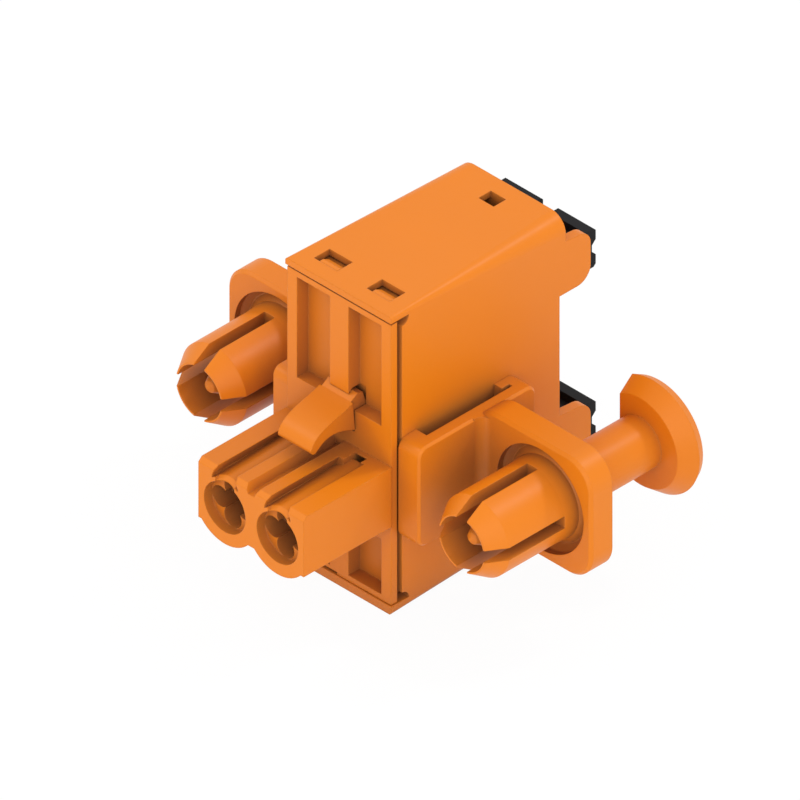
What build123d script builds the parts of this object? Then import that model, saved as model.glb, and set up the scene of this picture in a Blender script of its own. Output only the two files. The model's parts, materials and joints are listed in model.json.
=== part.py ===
from build123d import *
import math
import os

# A two-pole pluggable power connector, in millimetres, Z up.
# The plug is pushed onto its header along -Y. The origin is the middle of the nose's
# flat mating face, halfway between the two socket axes. X runs from pole to pole.

# Poles and tiers
pitch = 7.62
tier_step = 21.5
upper_button_z = 16.1
wire_below_button = 5.1

# Nose of the front insert
nose_length = 12.75
nose_top = 4.4
nose_skirt = 3.0
lobe_radius = 4.5
lobe_rear_radius = 4.9
nose_chamfer = 0.5
socket_radius = 3.0
socket_depth = 1.2
foil_radius = 1.25
foil_offset = 1.75
throat_radius = 1.3
throat_depth = 2.5
contact_bore_radius = 2.65
sleeve_wall = 1.1
crown_radius = 3.45
crown_rear_radius = 3.8
crown_chamfer = 0.85
nose_slot_mouth_half = 1.38
nose_slot_foot_half = 1.87
nose_slot_foot_z = 3.2
nose_slot_left_end_y = 10.3
nose_slot_right_end_y = 11.15
drain_left = 0.75
drain_right = 0.9
drain_front_y = 11.7
drain_rear_y = 12.1
drain_depth = 5.0
drain_roof = 0.2
nose_groove_half = 0.87
nose_groove_floor_half = 0.45
nose_groove_depth = 0.95

# Front insert
insert_inset = 0.15
insert_plate = 0.9
insert_depth = 5.25
insert_body_clearance = 0.1
insert_top_slit = 0.3
insert_bottom_slit = 0.05
mullion_half = 1.35
window_post = 1.4
window_depth = 1.66
window_rim = 0.7
window_sill = 8.85
lower_window_top = -5.3
window_floor_thickness = 1.1
hollow_sill = 1.0
bottom_slit_left = -2.6
bottom_slit_right = -0.3
bottom_slit_height = 0.3
bottom_slit_depth = 2.0

# Housing
housing_lead = 0.15
housing_overhang = 0.03
housing_length = 24.4
top_above_button = 7.1
bottom_below_button = 8.65
front_corner_radius = 0.3
rear_corner_radius = 2.0
top_wall = 0.8
bottom_wall = 1.05
side_wall = 1.15
rear_wall = 2.5
inner_wall = 1.2
side_wall_setback = 1.6
side_notch_radius = 1.0
hood_depth = 0.9
ear_length = 4.5
ear_top_root_rise = 4.25
ear_top_tip_rise = 3.7
ear_bottom_drop = 2.4
ear_top_radius = 1.7
ear_bottom_radius = 1.9
snap_window_width = 3.35
snap_window_length = 2.25
snap_window_inset = 2.0
snap_hook_side_gap = 0.75
snap_hook_rear_gap = 0.85
snap_hook_clearance = 0.05
snap_hook_flat = 0.5
snap_hook_slope = 0.45
rear_window_width = 2.2
rear_window_length = 1.8
rear_window_inset = 1.2

# Terminal chambers
chamber_partition = 2.24
chamber_below_wire = 2.5
chamber_above_wire = 8.0
bar_slot_length = 2.5
wire_bore_radius = 2.1
wire_funnel_radius = 2.6
wire_funnel_depth = 0.8

# Push buttons
button_head_spacing = 2.48
button_head_height = 4.8
button_head_thickness = 1.5
button_stand_off = 4.1
button_stem_side_gap = 0.49
button_stem_height = 2.8
button_spring_gap = 2.4
button_guide_clearance = 0.1
button_barb_reach = 0.15
button_barb_length = 1.0
button_groove_height = 1.9
button_groove_depth = 0.55
button_chamfer = 0.3

# Latch, with the outline's points as shares of its reach, forward of and above the pivot
latch_width = 4.8
latch_root_width = 4.2
latch_clearance = 0.1
latch_pivot_inset = 1.15
latch_pivot_z = 7.7
latch_reach = 7.6
latch_hub_radius = 1.1
trunnion_radius = 0.6
trunnion_clearance = 0.05
trunnion_reach = 0.9
latch_crown = ((0.204, 0.309), (0.487, 0.224), (0.776, 0.132), (0.921, 0.039), (1.0, -0.086))
latch_lip = (0.98, -0.151)
latch_belly = (
    (0.908, -0.164), (0.816, -0.092), (0.697, -0.037), (0.546, -0.026), (0.355, -0.072), (0.162, -0.15),
)
latch_heel = ((0.0, -0.15), (-0.145, 0.0), (-0.02, 0.37), (0.079, 0.395))
latch_pocket_front_rise = 2.75
latch_pocket_rise = 3.25
latch_pocket_drop = 1.5
latch_pocket_back = 0.55

# Flange brackets
flange_axis_offset = 11.34
flange_axis_z = 1.08
bracket_gap = 0.01
bracket_strip_offset = 1.54
bracket_thickness = 3.0
bracket_inset = 1.05
bracket_length = 16.95
bracket_top = 7.5
bracket_bottom = -4.9
bracket_corner = 1.2
bracket_edge_chamfer = 0.25
bracket_block_length = 2.55
bracket_lug_length = 3.1
bracket_lug_slit = 0.45
bracket_lug_slit_length = 1.1
flange_inset = 9.2
flange_thickness = 3.12
flange_half = 7.33
flange_corner = 3.5
flange_root_radius = 1.2
flange_edge_chamfer = 0.35
groove_outer_radius = 6.25
groove_depth = 1.4
groove_bend = 0.65

# Collets and lock pins
collet_radius = 4.73
collet_tip_radius = 3.35
collet_length = 11.35
collet_cone_length = 2.2
collet_bore_radius = 3.15
collet_slot_width = 1.5
collet_slot_length = 10.2
collet_root_radius = 4.85
pin_clearance = 0.085
pin_point_radius = 0.7
pin_tip_inset = 1.0
pin_point_length = 0.5
pin_cone_length = 5.0
pin_stand_off = 11.33
pin_head_front_radius = 5.4
pin_rim_radius = 6.8
pin_rim_rise = 1.8
pin_head_thickness = 2.8
pin_rear_radius = 6.3
pin_flat_offset = 2.95

# Contacts, current bars and springs
contact_radius = 2.0
contact_wall = 0.5
contact_tip_y = 4.6
contact_lead_in = 0.3
contact_slot_width = 0.5
contact_finger_length = 8.0
contact_root_length = 2.4
contact_flange_radius = 2.5
contact_flange_thickness = 0.8
contact_spring_wall = 0.35
contact_spring_gap = 0.03
contact_spring_front = 1.2
contact_spring_length = 5.5
contact_spring_slot = 0.6
bar_side_gap = 0.39
bar_thickness = 1.0
bar_bend_radius = 1.3
bar_gap = 0.6
bar_tongue_length = 8.9
clamp_spring_side_gap = 0.59
clamp_spring_thickness = 0.35
clamp_spring_foot_gap = 1.2
clamp_spring_arch = 6.6
clamp_spring_arch_length = 5.6
clamp_spring_bend = 1.3
clamp_spring_corner = 1.0
clamp_spring_drop = 2.9
clamp_spring_toe_length = 1.6
clamp_spring_toe_rise = 0.4

# Places that follow from the sizes above
pole_xs = {"left": -pitch / 2, "right": pitch / 2}
tier_zs = {"upper": upper_button_z, "lower": upper_button_z - tier_step}
nose_width = 2 * pitch
housing_width = nose_width + 2 * housing_overhang
housing_top = upper_button_z + top_above_button
housing_bottom = tier_zs["lower"] - bottom_below_button
insert_width = housing_width - 2 * insert_inset
insert_rear_y = nose_length + insert_depth
housing_front_y = nose_length - housing_lead
housing_rear_y = housing_front_y + housing_length
hood_rear_y = housing_rear_y + hood_depth
chamber_rear_y = housing_rear_y - rear_wall
chamber_width = pitch - chamber_partition
cavity_top = housing_top - top_wall
cavity_bottom = housing_bottom + bottom_wall
cavity_half = housing_width / 2 - side_wall
insert_top = cavity_top - insert_top_slit
insert_bottom = cavity_bottom + insert_bottom_slit
side_wall_front_y = housing_front_y + side_wall_setback
snap_window_front_y = housing_front_y + snap_window_inset
snap_window_rear_y = snap_window_front_y + snap_window_length
rear_window_rear_y = housing_rear_y - rear_window_inset
bore_front_y = socket_depth + throat_depth
latch_pivot_y = nose_length + latch_pivot_inset
button_front_y = hood_rear_y + button_stand_off
button_rear_y = button_front_y + button_head_thickness
bracket_inner_x = housing_width / 2 + bracket_gap
bracket_strip_x = bracket_inner_x + bracket_strip_offset
bracket_outer_x = bracket_inner_x + bracket_thickness
bracket_front_y = housing_front_y + bracket_inset
bracket_rear_y = bracket_front_y + bracket_length
flange_axis_x = bracket_inner_x + flange_axis_offset
flange_end_x = flange_axis_x + flange_half
flange_front_y = bracket_front_y + flange_inset
flange_rear_y = flange_front_y + flange_thickness
groove_floor_y = flange_front_y + groove_depth
groove_bend_y = groove_floor_y - groove_bend
collet_tip_y = flange_front_y - collet_length
collet_slot_end_y = collet_tip_y + collet_slot_length
pin_shaft_radius = collet_bore_radius - pin_clearance
pin_tip_y = collet_tip_y + pin_tip_inset
pin_head_front_y = flange_rear_y + pin_stand_off
bar_web_y = insert_rear_y + bar_gap
clamp_spring_foot_y = bar_web_y + bar_thickness + clamp_spring_foot_gap
clamp_spring_loop_y = clamp_spring_foot_y + clamp_spring_arch_length
stem_front_y = clamp_spring_loop_y + button_spring_gap
reach = 60.0
overcut = 1.0


def block(x0, x1, y0, y1, z0, z1):
    """A rectangular block between two opposite corners."""
    middle = Pos((x0 + x1) / 2, (y0 + y1) / 2, (z0 + z1) / 2)
    return middle * Box(x1 - x0, y1 - y0, z1 - z0)


def rod(x, z, radius, y0, y1):
    """A round rod along Y."""
    return Pos(x, (y0 + y1) / 2, z) * Rot(90, 0, 0) * Cylinder(radius, y1 - y0)


def cross_rod(y, z, radius, half_length):
    """A round rod along X, centred on the middle plane."""
    return Pos(0, y, z) * Rot(0, 90, 0) * Cylinder(radius, 2 * half_length)


def turned(outline, x, z):
    """A solid of revolution about an axis along Y; the outline holds (radius, y) points."""
    profile = make_face(Polyline(*outline, close=True))
    return Pos(x, 0, z) * revolve(profile, Axis.Y)


def side_sweep(sketch, x0, x1):
    """A (y, z) sketch swept from x0 to x1."""
    return extrude(Plane.YZ.offset(x0) * sketch, amount=x1 - x0)


def side_profile(outline, x0, x1):
    """A closed (y, z) outline swept from x0 to x1."""
    return side_sweep(make_face(outline), x0, x1)


def end_profile(sketch, y0, y1):
    """An (x, z) sketch swept from y0 to y1."""
    return extrude(Plane.XZ.offset(-y0) * sketch, amount=y0 - y1)


def both_sides(solid):
    """A solid together with its mirror image on the other side of the middle plane."""
    return solid + mirror(solid, about=Plane.YZ)


def nose():
    """The nose: a flat-topped block with a round, tapering belly under each socket."""
    half = nose_width / 2
    solid = block(-half, half, 0, nose_length, -nose_skirt, nose_top)
    below = block(-half, half, 0, nose_length, -reach, 0)
    for x in pole_xs.values():
        belly = turned([
            (0, 0),
            (lobe_radius, 0),
            (lobe_rear_radius, nose_length),
            (0, nose_length),
        ], x, 0)
        solid += belly & below
    lip = Polyline(
        (-overcut, nose_top - nose_chamfer - overcut),
        (nose_chamfer + overcut, nose_top + overcut),
        (-overcut, nose_top + overcut),
        close=True,
    )
    return solid - side_profile(lip, -nose_width, nose_width)


def nose_relief(x):
    """What is cut from the top of the nose over one socket, round the socket's crown."""
    left = x - nose_slot_foot_half
    right = x + nose_slot_foot_half
    slope = (nose_slot_foot_half - nose_slot_mouth_half) / (nose_top - nose_slot_foot_z)
    open_half = nose_slot_mouth_half - slope * overcut
    section = make_face(Polyline(
        (left, 0),
        (left, nose_slot_foot_z),
        (x - open_half, nose_top + overcut),
        (x + open_half, nose_top + overcut),
        (right, nose_slot_foot_z),
        (right, 0),
        close=True,
    ))
    slot = end_profile(section, -overcut, nose_slot_left_end_y)
    start = nose_slot_left_end_y
    top = nose_top + overcut
    slot += block(x - drain_left, x + nose_slot_mouth_half, start, nose_slot_right_end_y, 0, top)
    slot += block(x - drain_left, x + drain_right, start, drain_rear_y, 0, top)
    slot -= turned([
        (0, -overcut),
        (crown_radius, -overcut),
        (crown_radius, 0),
        (crown_rear_radius, nose_length),
        (0, nose_length),
    ], x, 0)
    ramp_lines = Polyline(
        (-overcut, crown_radius - crown_chamfer - overcut),
        (crown_chamfer, crown_radius),
        (crown_chamfer, top),
        (-overcut, top),
        close=True,
    )
    ramp = side_profile(ramp_lines, x - nose_slot_mouth_half, x + nose_slot_mouth_half)
    drain_end_y = drain_front_y + drain_depth
    roof = nose_top - drain_roof
    drain = block(x - drain_left, x + drain_right, drain_front_y, drain_rear_y, 0, top)
    tunnel = block(x - drain_left, x + drain_right, drain_front_y, drain_end_y, 0, roof)
    return slot + ramp + drain + tunnel


def nose_groove():
    """The tapered groove between the two poles."""
    slope = (nose_groove_half - nose_groove_floor_half) / nose_groove_depth
    open_half = nose_groove_half + slope * overcut
    floor = nose_top - nose_groove_depth
    section = make_face(Polyline(
        (-open_half, nose_top + overcut),
        (-nose_groove_floor_half, floor),
        (nose_groove_floor_half, floor),
        (open_half, nose_top + overcut),
        close=True,
    ))
    return end_profile(section, -overcut, nose_length)


def socket(x):
    """One socket: round mouth, four-lobed throat and the bore that holds the contact."""
    foil = Pos(x, 0) * Circle(throat_radius)
    for dx, dz in ((1, 0), (-1, 0), (0, 1), (0, -1)):
        foil += Pos(x + dx * foil_offset, dz * foil_offset) * Circle(foil_radius)
    mouth = rod(x, 0, socket_radius, -overcut, socket_depth)
    throat = end_profile(foil, 0, bore_front_y)
    bore = rod(x, 0, contact_bore_radius, bore_front_y, insert_rear_y + overcut)
    return mouth + throat + bore


def insert_windows():
    """The four recesses in the insert's face, and the hollows behind them."""
    floor_y = nose_length + window_depth
    hollow_y = floor_y + window_floor_thickness
    outer = insert_width / 2 - window_post
    spans = (
        (window_sill, insert_top - window_rim),
        (insert_bottom + window_rim, lower_window_top),
    )
    cuts = []
    for bottom, top in spans:
        recess = block(mullion_half, outer, nose_length - overcut, floor_y, bottom, top)
        hollow = block(
            mullion_half, outer,
            hollow_y, insert_rear_y + overcut,
            bottom + hollow_sill, top,
        )
        cuts.append(both_sides(recess))
        cuts.append(both_sides(hollow))
    return cuts


def snap_hooks():
    """The ramped hooks that hold the insert in the housing's snap windows."""
    front = snap_window_front_y + snap_hook_clearance
    rear = snap_window_rear_y - snap_hook_rear_gap
    tip = housing_top - snap_hook_clearance
    lines = Polyline(
        (front, insert_top - overcut),
        (front, tip),
        (front + snap_hook_flat, tip),
        (rear, tip - snap_hook_slope),
        (rear, insert_top - overcut),
        close=True,
    )
    hooks = Part()
    for x in pole_xs.values():
        left = x - snap_window_width / 2 + snap_hook_side_gap
        right = x + snap_window_width / 2 - snap_hook_clearance
        hooks += side_profile(lines, left, right)
    return hooks


def latch_pocket():
    """The room in the insert for the latch's heel, hub and trunnions."""
    front = nose_length - overcut
    rear = latch_pivot_y + latch_hub_radius + latch_clearance
    floor = latch_pivot_z - latch_pocket_drop
    lines = Polyline(
        (front, floor),
        (front, latch_pivot_z + latch_pocket_front_rise - overcut),
        (nose_length, latch_pivot_z + latch_pocket_front_rise),
        (latch_pivot_y - latch_pivot_inset / 2, latch_pivot_z + latch_pocket_rise),
        (latch_pivot_y + latch_pocket_back, latch_pivot_z + latch_pocket_rise),
        (rear, latch_pivot_z),
        (rear, floor),
        close=True,
    )
    half = latch_root_width / 2 + latch_clearance
    hole_radius = trunnion_radius + trunnion_clearance
    return (
        side_profile(lines, -half, half)
        + cross_rod(latch_pivot_y, latch_pivot_z, hole_radius, half + trunnion_reach)
    )


def front_insert():
    """The contact carrier: face plate, body, nose, sockets and windows in one moulding."""
    half = insert_width / 2
    body_half = cavity_half - insert_body_clearance
    plate_rear = nose_length + insert_plate
    body = block(-body_half, body_half, plate_rear, insert_rear_y, insert_bottom, insert_top)
    solid = block(-half, half, nose_length, plate_rear, insert_bottom, insert_top) + body + nose()
    for cut in insert_windows():
        solid -= cut
    for x in pole_xs.values():
        sleeve = rod(x, 0, contact_bore_radius + sleeve_wall, plate_rear, insert_rear_y)
        solid += sleeve & body
        solid -= nose_relief(x)
        solid -= socket(x)
    solid -= nose_groove()
    solid -= latch_pocket()
    solid -= block(
        bottom_slit_left, bottom_slit_right,
        nose_length - overcut, nose_length + bottom_slit_depth,
        insert_bottom - overcut, cavity_bottom + bottom_slit_height,
    )
    return solid + snap_hooks()


def latch_point(share):
    """A point of the latch's outline from its shares of the reach."""
    forward, rise = share
    return (latch_pivot_y - forward * latch_reach, latch_pivot_z + rise * latch_reach)


def latch():
    """The curved release latch with its heel, hub and two trunnions."""
    crown = [latch_point(share) for share in latch_crown]
    belly = [latch_point(share) for share in latch_belly]
    heel = [latch_point(share) for share in latch_heel]
    lip = ThreePointArc(crown[-1], latch_point(latch_lip), belly[0])
    paddle_lines = Spline(*crown) + lip + Spline(*belly) + Line(belly[-1], crown[0])
    paddle = side_profile(paddle_lines, -latch_width / 2, latch_width / 2)
    root_half = latch_root_width / 2
    root = side_profile(Polyline(crown[0], belly[-1], *heel, close=True), -root_half, root_half)
    hub = cross_rod(latch_pivot_y, latch_pivot_z, latch_hub_radius, root_half)
    trunnion_half = root_half + trunnion_reach
    trunnions = cross_rod(latch_pivot_y, latch_pivot_z, trunnion_radius, trunnion_half)
    return paddle + root + hub + trunnions


def corner_waste():
    """What lies outside the upper right corner, whose radius grows from front to rear."""
    slope = (rear_corner_radius - front_corner_radius) / housing_length
    apex_y = housing_front_y - front_corner_radius / slope
    front_y = housing_front_y - overcut
    rear_y = hood_rear_y + overcut
    squares = []
    for y in (front_y, rear_y):
        radius = slope * (y - apex_y)
        side = radius + overcut
        middle = Pos(housing_width / 2 - radius + side / 2, housing_top - radius + side / 2)
        squares.append(Plane.XZ.offset(-y) * middle * Rectangle(side, side))
    stretch = math.sqrt(1 + 2 * slope ** 2)
    start = (front_y - overcut - apex_y) * stretch
    end = (rear_y + overcut - apex_y) * stretch
    opening = slope / math.sqrt(1 + slope ** 2)
    apex = Plane(origin=(housing_width / 2, apex_y, housing_top), z_dir=(-slope, 1, -slope))
    cone = apex * Pos(0, 0, (start + end) / 2) * Cone(start * opening, end * opening, end - start)
    return loft(squares, ruled=True) - cone


def housing_body():
    """The housing's outside, whose long corners round off more towards the rear."""
    half = housing_width / 2
    body = block(-half, half, housing_front_y, hood_rear_y, housing_bottom, housing_top)
    body -= block(-reach, reach, housing_rear_y, reach, -reach, upper_button_z - ear_bottom_drop)
    middle = Plane.XY.offset((housing_top + housing_bottom) / 2)
    waste = corner_waste()
    for corner in (waste, mirror(waste, about=Plane.YZ)):
        body -= corner
        body -= mirror(corner, about=middle)
    return body


def housing_ears(button_z):
    """The pair of side ears that guard the push buttons at the given height."""
    start = housing_rear_y - rear_wall / 2
    rear = housing_rear_y + ear_length
    outline = make_face(Polyline(
        (start, button_z - ear_bottom_drop),
        (start, button_z + ear_top_root_rise),
        (rear, button_z + ear_top_tip_rise),
        (rear, button_z - ear_bottom_drop),
        close=True,
    ))
    top_corner = outline.vertices().group_by(Axis.X)[-1].sort_by(Axis.Y)[-1]
    outline = fillet(top_corner, ear_top_radius)
    bottom_corner = outline.vertices().group_by(Axis.X)[-1].sort_by(Axis.Y)[0]
    outline = fillet(bottom_corner, ear_bottom_radius)
    return both_sides(side_sweep(outline, cavity_half, housing_width / 2))


def chamber_cuts(x):
    """The inner spaces behind the insert for one pole."""
    left = x - chamber_width / 2
    right = x + chamber_width / 2
    front = insert_rear_y
    wire_zs = [z - wire_below_button for z in tier_zs.values()]
    ceilings = [z + chamber_above_wire for z in wire_zs]
    floors = [z - chamber_below_wire for z in wire_zs]
    cuts = [
        block(left, right, front, chamber_rear_y, floor, ceiling)
        for floor, ceiling in zip(floors, ceilings)
    ]
    cuts.append(block(left, right, front, front + bar_slot_length, min(floors), max(ceilings)))
    middle_bottom = min(ceilings) + inner_wall
    middle_top = max(floors) - inner_wall
    cuts.append(block(left, right, front, chamber_rear_y, middle_bottom, middle_top))
    guide_w = chamber_width / 2 - button_stem_side_gap + button_guide_clearance
    guide_h = button_stem_height / 2 + button_guide_clearance
    for button_z, wire_z in zip(tier_zs.values(), wire_zs):
        cuts.append(block(
            x - guide_w, x + guide_w,
            chamber_rear_y - overcut, hood_rear_y + overcut,
            button_z - guide_h, button_z + guide_h,
        ))
        cuts.append(turned([
            (0, chamber_rear_y - overcut),
            (wire_bore_radius, chamber_rear_y - overcut),
            (wire_bore_radius, housing_rear_y - wire_funnel_depth),
            (wire_funnel_radius, housing_rear_y),
            (wire_funnel_radius, housing_rear_y + overcut),
            (0, housing_rear_y + overcut),
        ], x, wire_z))
    return cuts


def housing():
    """The outer shell: tapering corner radii, ears, snap windows and terminal chambers."""
    solid = housing_body()
    for button_z in tier_zs.values():
        solid += housing_ears(button_z)
    solid -= block(-cavity_half, cavity_half, 0, insert_rear_y, cavity_bottom, cavity_top)
    solid -= block(-reach, reach, 0, side_wall_front_y, cavity_bottom, cavity_top)
    roof = upper_button_z - wire_below_button + chamber_above_wire + inner_wall
    solid -= block(-cavity_half, cavity_half, insert_rear_y, rear_window_rear_y, roof, cavity_top)
    for x in pole_xs.values():
        for cut in chamber_cuts(x):
            solid -= cut
        solid -= block(
            x - snap_window_width / 2, x + snap_window_width / 2,
            snap_window_front_y, snap_window_rear_y,
            roof, reach,
        )
    solid -= block(
        -rear_window_width / 2, rear_window_width / 2,
        rear_window_rear_y - rear_window_length, rear_window_rear_y,
        roof, reach,
    )
    wall_front = block(
        -reach, reach,
        side_wall_front_y, reach,
        cavity_bottom, cavity_top,
    )
    for z in (cavity_top, cavity_bottom):
        solid -= cross_rod(side_wall_front_y, z, side_notch_radius, reach) & wall_front
    return solid


def push_button(x, z):
    """A wire-release button: grooved head, stem and the barbs that stop it at the rear wall."""
    head_w = (pitch - button_head_spacing) / 2
    head_h = button_head_height / 2
    stem_w = chamber_width / 2 - button_stem_side_gap
    stem_h = button_stem_height / 2
    head = block(x - head_w, x + head_w, button_front_y, button_rear_y, z - head_h, z + head_h)
    head = chamfer(head.edges().filter_by(Axis.X).group_by(Axis.Y)[-1], button_chamfer)
    stem = block(x - stem_w, x + stem_w, stem_front_y, button_front_y, z - stem_h, z + stem_h)
    barb_w = stem_w + button_barb_reach
    barb_rear = chamber_rear_y - button_guide_clearance
    barb = block(
        x - barb_w, x + barb_w,
        barb_rear - button_barb_length, barb_rear,
        z - stem_h, z + stem_h,
    )
    groove_h = button_groove_height / 2
    groove_lines = Polyline(
        (button_rear_y + overcut, z - groove_h - overcut),
        (button_rear_y - button_groove_depth, z - groove_h + button_groove_depth),
        (button_rear_y - button_groove_depth, z + groove_h - button_groove_depth),
        (button_rear_y + overcut, z + groove_h + overcut),
        close=True,
    )
    groove = side_profile(groove_lines, x - reach, x + reach)
    return head + stem + barb - groove


def bracket_plate():
    """The bracket's side plate, with the block and the lug that stand against the housing."""
    middle = Pos((bracket_front_y + bracket_rear_y) / 2, (bracket_top + bracket_bottom) / 2)
    outline = middle * RectangleRounded(bracket_length, bracket_top - bracket_bottom, bracket_corner)
    plate = side_sweep(outline, bracket_inner_x, bracket_outer_x)
    outer_edges = plate.faces().sort_by(Axis.X)[-1].edges()
    plate = chamfer(outer_edges, bracket_edge_chamfer)
    lug_front_y = bracket_rear_y - bracket_lug_length
    plate -= block(
        0, bracket_strip_x,
        bracket_front_y + bracket_block_length, lug_front_y,
        -reach, reach,
    )
    return plate - block(
        bracket_strip_x - bracket_lug_slit, bracket_strip_x,
        lug_front_y - overcut, lug_front_y + bracket_lug_slit_length,
        -reach, reach,
    )


def groove_room():
    """The round room in the flange in which the collet stands, with a sloping foot."""
    return turned([
        (0, flange_front_y - overcut),
        (groove_outer_radius, flange_front_y - overcut),
        (groove_outer_radius, groove_bend_y),
        (groove_outer_radius - groove_bend, groove_floor_y),
        (0, groove_floor_y),
    ], flange_axis_x, flange_axis_z)


def collet():
    """The collet's body before it is bored and slotted, with its root in the flange."""
    return turned([
        (0, collet_tip_y),
        (collet_tip_radius, collet_tip_y),
        (collet_radius, collet_tip_y + collet_cone_length),
        (collet_radius, collet_slot_end_y),
        (collet_root_radius, groove_bend_y),
        (collet_root_radius + groove_bend, groove_floor_y),
        (collet_root_radius + groove_bend, flange_rear_y),
        (0, flange_rear_y),
    ], flange_axis_x, flange_axis_z)


def flange_bracket():
    """The right bracket: side plate, flange, groove and slotted collet in one moulding."""
    width = flange_end_x - bracket_strip_x
    centre = Pos(flange_end_x - width / 2, flange_axis_z)
    outline = centre * RectangleRounded(width, 2 * flange_half, flange_corner)
    flange = end_profile(outline, flange_front_y, flange_rear_y)
    flange = chamfer(flange.faces().sort_by(Axis.Y)[0].edges(), flange_edge_chamfer)
    root_end_x = bracket_outer_x + flange_root_radius
    root_front_y = flange_front_y - flange_root_radius
    root = block(
        bracket_strip_x, root_end_x,
        root_front_y, flange_rear_y,
        bracket_bottom, bracket_top,
    )
    scoop = Pos(root_end_x, root_front_y, 0) * Cylinder(flange_root_radius, reach)
    solid = bracket_plate() + flange + (root - scoop)
    solid -= groove_room()
    solid += collet()
    solid -= rod(flange_axis_x, flange_axis_z, collet_bore_radius, 0, reach)
    half_slot = collet_slot_width / 2
    wide = collet_root_radius + overcut
    for half_x, half_z in ((half_slot, wide), (wide, half_slot)):
        solid -= block(
            flange_axis_x - half_x, flange_axis_x + half_x,
            collet_tip_y - overcut, collet_slot_end_y,
            flange_axis_z - half_z, flange_axis_z + half_z,
        )
    return solid


def lock_pin():
    """The right lock pin: pointed shaft and a mushroom head with one flat side."""
    rim_y = pin_head_front_y + pin_rim_rise
    rear_y = pin_head_front_y + pin_head_thickness
    solid = turned([
        (0, pin_tip_y),
        (pin_point_radius, pin_tip_y + pin_point_length),
        (pin_shaft_radius, pin_tip_y + pin_cone_length),
        (pin_shaft_radius, pin_head_front_y),
        (pin_head_front_radius, pin_head_front_y),
        (pin_rim_radius, rim_y),
        (pin_rear_radius, rear_y),
        (0, rear_y),
    ], flange_axis_x, flange_axis_z)
    flat_x = flange_axis_x - pin_flat_offset
    return solid - block(0, flat_x, pin_head_front_y, reach, -reach, reach)


def contact(x):
    """A turned tulip contact with four spring fingers."""
    flange_y = bar_web_y - contact_flange_thickness
    inner = contact_radius - contact_wall
    solid = turned([
        (inner, contact_tip_y),
        (contact_radius - contact_lead_in, contact_tip_y),
        (contact_radius, contact_tip_y + contact_lead_in),
        (contact_radius, flange_y),
        (contact_flange_radius, flange_y),
        (contact_flange_radius, bar_web_y),
        (0, bar_web_y),
        (0, flange_y - contact_root_length),
        (inner, flange_y - contact_root_length),
    ], x, 0)
    finger_end = contact_tip_y + contact_finger_length
    half_slot = contact_slot_width / 2
    wide = contact_radius + overcut
    for half_x, half_z in ((half_slot, wide), (wide, half_slot)):
        solid -= block(x - half_x, x + half_x, 0, finger_end, -half_z, half_z)
    return solid


def contact_spring(x):
    """The steel sleeve spring around the contact's fingers."""
    inner = contact_radius + contact_spring_gap
    outer = inner + contact_spring_wall
    start = contact_tip_y + contact_spring_front
    end = start + contact_spring_length
    sleeve = rod(x, 0, outer, start, end) - rod(x, 0, inner, start - overcut, end + overcut)
    half_slot = contact_spring_slot / 2
    return sleeve - block(
        x - half_slot, x + half_slot,
        start - overcut, end + overcut,
        0, outer + overcut,
    )


def current_bar(x):
    """The copper bar that joins the contact to the upper and lower wire clamps."""
    half = chamber_width / 2 - bar_side_gap
    lift = bar_thickness / 2 - chamber_below_wire - wire_below_button
    low = tier_zs["lower"] + lift
    high = tier_zs["upper"] + lift
    web = bar_web_y + bar_thickness / 2
    tongue_end = bar_web_y + bar_tongue_length
    path = FilletPolyline(
        (tongue_end, low), (web, low), (web, high), (tongue_end, high),
        radius=bar_bend_radius,
    )
    return side_sweep(trace(path, line_width=bar_thickness), x - half, x + half)


def clamp_spring(x, button_z):
    """The bent steel spring that presses a wire onto the current bar."""
    wire_z = button_z - wire_below_button
    seat = wire_z - chamber_below_wire + bar_thickness
    arch = wire_z + clamp_spring_arch
    half = chamber_width / 2 - clamp_spring_side_gap
    path = FilletPolyline(
        (clamp_spring_foot_y, seat),
        (clamp_spring_foot_y, arch),
        (clamp_spring_loop_y, arch),
        (clamp_spring_loop_y, arch - clamp_spring_drop),
        (clamp_spring_foot_y + clamp_spring_toe_length, seat + clamp_spring_toe_rise),
        radius=[clamp_spring_corner, clamp_spring_bend, clamp_spring_corner],
    )
    return side_sweep(trace(path, line_width=clamp_spring_thickness), x - half, x + half)


def all_nodes():
    """Every separate piece of the connector by name."""
    pieces = {
        "housing": housing(),
        "front_insert": front_insert(),
        "release_latch": latch(),
    }
    right = {"flange": flange_bracket(), "lock_pin": lock_pin()}
    for name, solid in right.items():
        pieces["right_" + name] = solid
        pieces["left_" + name] = mirror(solid, about=Plane.YZ)
    for side, x in pole_xs.items():
        pieces[side + "_contact"] = contact(x)
        pieces[side + "_contact_spring"] = contact_spring(x)
        pieces[side + "_current_bar"] = current_bar(x)
        for tier, z in tier_zs.items():
            pieces[f"{tier}_{side}_button"] = push_button(x, z)
            pieces[f"{tier}_{side}_clamp_spring"] = clamp_spring(x, z)
    return pieces


os.makedirs("parts", exist_ok=True)
for node, shape in all_nodes().items():
    export_step(shape, f"parts/{node}.step")
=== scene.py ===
import json

import bpy
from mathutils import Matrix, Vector


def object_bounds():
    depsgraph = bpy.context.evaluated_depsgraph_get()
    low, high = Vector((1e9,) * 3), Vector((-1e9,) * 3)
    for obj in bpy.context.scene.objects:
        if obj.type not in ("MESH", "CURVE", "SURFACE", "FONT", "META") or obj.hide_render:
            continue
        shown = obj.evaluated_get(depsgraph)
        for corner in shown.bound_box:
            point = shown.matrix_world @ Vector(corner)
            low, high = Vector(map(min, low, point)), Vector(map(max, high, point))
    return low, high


MM = 0.001

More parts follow.
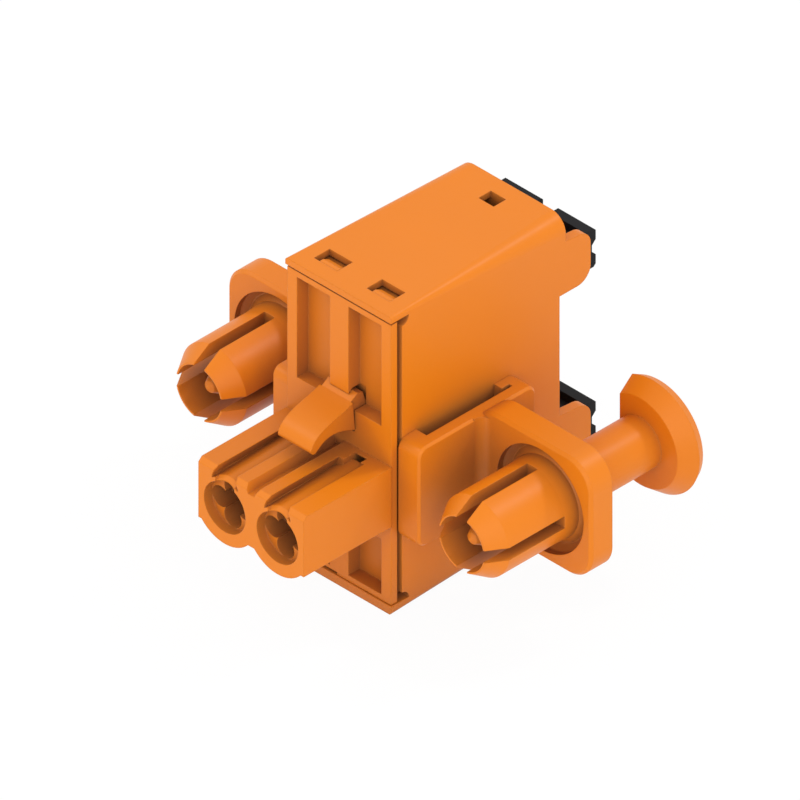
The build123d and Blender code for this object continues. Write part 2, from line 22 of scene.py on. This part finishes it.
# The photograph is an isometric view without perspective, from the front right and above.
VIEW_DIRECTION = Vector((1.0, -1.0, 1.0)).normalized()
VIEW_RIGHT = Vector((1.0, 1.0, 0.0)).normalized()
VIEW_UP = VIEW_DIRECTION.cross(VIEW_RIGHT)

# The picture's width in pixels, its scale, and how far its middle lies from the origin.
PICTURE_SIZE = 800
PIXELS_PER_MM = 9.775
MIDDLE_RIGHT = 15.243 * MM
MIDDLE_UP = 12.593 * MM
CAMERA_DISTANCE = 0.4

# Surface colours, linear. The deep ones are painted shade, which darkens recesses.
ORANGE = (0.662, 0.176, 0.004)
ORANGE_PAINTED_SHADE = (0.30, 0.111, 0.036)
BLACK = (0.005, 0.005, 0.006)
BLACK_PAINTED_SHADE = (0.003, 0.003, 0.004)
TIN = (0.62, 0.61, 0.58)
STEEL = (0.55, 0.56, 0.57)
WHITE = (1.0, 1.0, 1.0)

ORANGE_ROUGHNESS = 0.42
BLACK_ROUGHNESS = 0.7
ALLOY_ROUGHNESS = 0.3
STEEL_ROUGHNESS = 0.28
PLASTIC_SPECULAR = 0.25

# The radius to which a moulding's edges look rounded.
ORANGE_EDGE = 0.15 * MM
BLACK_EDGE = 0.05 * MM
EDGE_SAMPLES = 6

# Painted shade: recesses take the deep colour by how closed they are within a reach, found by
# ambient occlusion. The two levels of openness are those at which the painted shade is full
# and at which none of it is left.
PAINTED_SHADE_REACH = 8.0 * MM
PAINTED_SHADE_OPENNESS = (0.05, 0.8)
PAINTED_SHADE_SAMPLES = 8

# Surface patterns, by the scale and the detail of their noise. The metal's is stretched.
FLOW_PATTERN = (90.0, 3.0)
SHEEN_PATTERN = (700.0, 2.0)
GRAIN_PATTERN = (9000.0, 1.0)
STRIP_PATTERN = (2500.0, 2.0)
STRIP_STRETCH = (6.0, 0.3, 0.3)

# Flow marks: the range of their noise, and the share of the open colour that it leaves.
FLOW_NOISE = (0.3, 0.7)
FLOW_SHARE = (0.96, 1.0)

# How far the roughness strays, and how strongly and how high the finest patterns stand out.
SHEEN_SPREAD = 0.04
GRAIN_STRENGTH = 0.06
STRIP_STRENGTH = 0.1
RELIEF_HEIGHT = 0.02 * MM

FULL_RANGE = (0.0, 1.0)

# The surround lights the object at one strength and shows white at the other.
SURROUND_STRENGTH = 0.98
SHOWN_STRENGTH = 1.0

# The floor shows this share of plain white, and the rest is its lit and shadowed surface.
FLOOR_HALF = 0.6
FLOOR_COLOUR = (0.93, 0.93, 0.93)
FLOOR_ROUGHNESS = 0.9
FLOOR_SPECULAR = 0.0
FLOOR_WHITE_SHARE = 0.95

# Each lamp: its name, the side that it stands on, its power in watts and its width.
LAMP_DISTANCE = 0.5
LAMPS = (
    ("front_key", (1.0, -1.0, 0.75), 1.05, 0.5),
    ("rear_fill", (0.35, 0.8, 1.0), 0.5, 0.06),
    ("left_fill", (-1.0, -0.6, 0.9), 0.35, 0.06),
)

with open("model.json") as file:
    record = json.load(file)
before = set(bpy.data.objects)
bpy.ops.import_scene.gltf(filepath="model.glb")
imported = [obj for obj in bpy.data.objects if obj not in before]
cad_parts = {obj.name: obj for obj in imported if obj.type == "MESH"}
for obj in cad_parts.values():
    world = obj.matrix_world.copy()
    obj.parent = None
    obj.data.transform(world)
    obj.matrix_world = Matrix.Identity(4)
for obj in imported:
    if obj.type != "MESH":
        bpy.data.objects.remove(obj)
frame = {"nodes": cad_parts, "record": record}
cad_box = [list(corner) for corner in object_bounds()]


def new_material(name):
    """A material with an output alone, and the socket that takes its surface."""
    material = bpy.data.materials.new(name)
    material.use_nodes = True
    tree = material.node_tree
    tree.nodes.clear()
    output = tree.nodes.new("ShaderNodeOutputMaterial")
    return material, tree, output.inputs["Surface"]


def new_shader(tree, surface):
    """A shader that feeds a surface socket."""
    shader = tree.nodes.new("ShaderNodeBsdfPrincipled")
    tree.links.new(shader.outputs["BSDF"], surface)
    return shader


def own_place(tree):
    """The place on the object, which patterns follow."""
    return tree.nodes.new("ShaderNodeTexCoord").outputs["Object"]


def noise(tree, place, pattern):
    """A noise pattern with its scale and detail."""
    scale, detail = pattern
    node = tree.nodes.new("ShaderNodeTexNoise")
    node.inputs["Scale"].default_value = scale
    node.inputs["Detail"].default_value = detail
    tree.links.new(place, node.inputs["Vector"])
    return node.outputs["Fac"]


def mapped(tree, value, source, target):
    """A value moved from one range to another and held within it."""
    node = tree.nodes.new("ShaderNodeMapRange")
    for end, number in zip(("From Min", "From Max", "To Min", "To Max"), (*source, *target)):
        node.inputs[end].default_value = number
    tree.links.new(value, node.inputs["Value"])
    return node.outputs["Result"]


def combined(tree, operation, first, second):
    """Two values joined by one operation."""
    node = tree.nodes.new("ShaderNodeMath")
    node.operation = operation
    tree.links.new(first, node.inputs[0])
    tree.links.new(second, node.inputs[1])
    return node.outputs["Value"]


def relief(tree, height, strength):
    """A fine relief that follows a pattern."""
    node = tree.nodes.new("ShaderNodeBump")
    node.inputs["Strength"].default_value = strength
    node.inputs["Distance"].default_value = RELIEF_HEIGHT
    tree.links.new(height, node.inputs["Height"])
    return node


def unshaded_share(tree):
    """How open the surface is, which sets the painted shade: 1 on open faces, towards 0 deep
    in recesses.
    """
    node = tree.nodes.new("ShaderNodeAmbientOcclusion")
    node.samples = PAINTED_SHADE_SAMPLES
    node.inputs["Distance"].default_value = PAINTED_SHADE_REACH
    return mapped(tree, node.outputs["AO"], PAINTED_SHADE_OPENNESS, FULL_RANGE)


def rounded_edges(tree, radius):
    """The way that the surface faces, as if its edges were rounded."""
    node = tree.nodes.new("ShaderNodeBevel")
    node.samples = EDGE_SAMPLES
    node.inputs["Radius"].default_value = radius
    return node.outputs["Normal"]


def moulded_plastic(name, colour, painted_shade_colour, roughness, edge_radius):
    """Moulded plastic: faint flow marks, painted shade in recesses, rounded edges."""
    material, tree, surface = new_material(name)
    shader = new_shader(tree, surface)
    place = own_place(tree)

    flow = mapped(tree, noise(tree, place, FLOW_PATTERN), FLOW_NOISE, FLOW_SHARE)
    # Base colour: the open colour, mixed towards a painted shade colour in recesses and
    # faintly along the flow marks.
    mix = tree.nodes.new("ShaderNodeMix")
    mix.data_type = "RGBA"
    mix.inputs["A"].default_value = (*painted_shade_colour, 1.0)
    mix.inputs["B"].default_value = (*colour, 1.0)
    tree.links.new(combined(tree, "MULTIPLY", flow, unshaded_share(tree)), mix.inputs["Factor"])
    tree.links.new(mix.outputs["Result"], shader.inputs["Base Color"])

    spread = (roughness - SHEEN_SPREAD, roughness + SHEEN_SPREAD)
    sheen = mapped(tree, noise(tree, place, SHEEN_PATTERN), FULL_RANGE, spread)
    tree.links.new(sheen, shader.inputs["Roughness"])

    grain = relief(tree, noise(tree, place, GRAIN_PATTERN), GRAIN_STRENGTH)
    tree.links.new(rounded_edges(tree, edge_radius), grain.inputs["Normal"])
    tree.links.new(grain.outputs["Normal"], shader.inputs["Normal"])
    shader.inputs["Specular IOR Level"].default_value = PLASTIC_SPECULAR
    return material


def strip_metal(name, colour, roughness):
    """Rolled metal strip with fine marks along its length."""
    material, tree, surface = new_material(name)
    shader = new_shader(tree, surface)
    stretch = tree.nodes.new("ShaderNodeMapping")
    stretch.inputs["Scale"].default_value = STRIP_STRETCH
    tree.links.new(own_place(tree), stretch.inputs["Vector"])
    marks = noise(tree, stretch.outputs["Vector"], STRIP_PATTERN)
    rolled = relief(tree, marks, STRIP_STRENGTH)
    tree.links.new(rolled.outputs["Normal"], shader.inputs["Normal"])
    shader.inputs["Base Color"].default_value = (*colour, 1.0)
    shader.inputs["Metallic"].default_value = 1.0
    shader.inputs["Roughness"].default_value = roughness
    return material


def orange_moulding():
    """The orange plastic of the housing, the insert, the latch, the flanges and the pins."""
    return moulded_plastic(
        "orange_moulding", ORANGE, ORANGE_PAINTED_SHADE, ORANGE_ROUGHNESS, ORANGE_EDGE,
    )


def black_moulding():
    """The black plastic of the buttons."""
    return moulded_plastic("black_moulding", BLACK, BLACK_PAINTED_SHADE, BLACK_ROUGHNESS, BLACK_EDGE)


def contact_alloy():
    """The tinned copper alloy of the contacts and the current bars."""
    return strip_metal("contact_alloy", TIN, ALLOY_ROUGHNESS)


def spring_steel():
    """The spring steel of the contact springs and the clamp springs."""
    return strip_metal("spring_steel", STEEL, STEEL_ROUGHNESS)


def dress_nodes():
    """Gives each carried node the material of its slot."""
    materials = {
        "orange_moulding": orange_moulding(),
        "black_moulding": black_moulding(),
        "contact_alloy": contact_alloy(),
        "spring_steel": spring_steel(),
    }
    for part in frame["record"]["subparts"]:
        mesh = frame["nodes"][part["node"]].data
        mesh.materials.clear()
        mesh.materials.append(materials[part["material_slot"]])


def seen_directly(tree):
    """1 for rays from the camera and for those in reflections and refractions, 0 for light."""
    path = tree.nodes.new("ShaderNodeLightPath")
    seen = path.outputs["Is Camera Ray"]
    for ray in ("Is Glossy Ray", "Is Transmission Ray"):
        seen = combined(tree, "MAXIMUM", seen, path.outputs[ray])
    return seen


def make_world():
    """A pale, even studio surround that shows white behind the object."""
    world = bpy.data.worlds.new("studio")
    bpy.context.scene.world = world
    world.use_nodes = True
    tree = world.node_tree
    tree.nodes.clear()
    output = tree.nodes.new("ShaderNodeOutputWorld")
    mix = tree.nodes.new("ShaderNodeMixShader")
    tree.links.new(seen_directly(tree), mix.inputs["Fac"])
    for slot, strength in ((1, SURROUND_STRENGTH), (2, SHOWN_STRENGTH)):
        background = tree.nodes.new("ShaderNodeBackground")
        background.inputs["Color"].default_value = (*WHITE, 1.0)
        background.inputs["Strength"].default_value = strength
        tree.links.new(background.outputs["Background"], mix.inputs[slot])
    tree.links.new(mix.outputs["Shader"], output.inputs["Surface"])


def floor_material():
    """Plain white with a small share of a lit surface, which takes the shadow."""
    material, tree, surface = new_material("floor")
    mix = tree.nodes.new("ShaderNodeMixShader")
    white_share = mapped(tree, seen_directly(tree), FULL_RANGE, (0.0, FLOOR_WHITE_SHARE))
    tree.links.new(white_share, mix.inputs["Fac"])
    tree.links.new(mix.outputs["Shader"], surface)

    shader = new_shader(tree, mix.inputs[1])
    shader.inputs["Base Color"].default_value = (*FLOOR_COLOUR, 1.0)
    shader.inputs["Roughness"].default_value = FLOOR_ROUGHNESS
    shader.inputs["Specular IOR Level"].default_value = FLOOR_SPECULAR

    glow = tree.nodes.new("ShaderNodeEmission")
    glow.inputs["Color"].default_value = (*WHITE, 1.0)
    glow.inputs["Strength"].default_value = SHOWN_STRENGTH
    tree.links.new(glow.outputs["Emission"], mix.inputs[2])
    return material


def make_floor():
    """A white floor under the object that keeps a faint shadow."""
    height = cad_box[0][2]
    corners = [
        (side * FLOOR_HALF, depth * FLOOR_HALF, height)
        for side, depth in ((-1, -1), (1, -1), (1, 1), (-1, 1))
    ]
    mesh = bpy.data.meshes.new("floor")
    mesh.from_pydata(corners, [], [(0, 1, 2, 3)])
    mesh.materials.append(floor_material())
    floor = bpy.data.objects.new("floor", mesh)
    bpy.context.collection.objects.link(floor)


def aim(thing, target, direction, distance):
    """Puts a lamp or the camera on one side of a point, turned towards it."""
    thing.location = target + direction * distance
    thing.rotation_euler = (-direction).to_track_quat("-Z", "Y").to_euler()


def add_lamp(name, direction, power, width):
    """A soft square lamp that shines at the object's middle."""
    data = bpy.data.lights.new(name, "AREA")
    data.energy = power
    data.size = width
    lamp = bpy.data.objects.new(name, data)
    bpy.context.collection.objects.link(lamp)
    middle = (Vector(cad_box[0]) + Vector(cad_box[1])) / 2
    aim(lamp, middle, Vector(direction).normalized(), LAMP_DISTANCE)


def make_camera():
    """The camera at the photograph's isometric angle and scale."""
    data = bpy.data.cameras.new("camera")
    data.type = "ORTHO"
    data.ortho_scale = PICTURE_SIZE / PIXELS_PER_MM * MM
    camera = bpy.data.objects.new("camera", data)
    bpy.context.collection.objects.link(camera)
    middle = VIEW_RIGHT * MIDDLE_RIGHT + VIEW_UP * MIDDLE_UP
    aim(camera, middle, VIEW_DIRECTION, CAMERA_DISTANCE)
    bpy.context.scene.camera = camera


make_camera()
dress_nodes()
make_world()
make_floor()
for lamp_values in LAMPS:
    add_lamp(*lamp_values)
bpy.context.scene.view_settings.view_transform = "Standard"
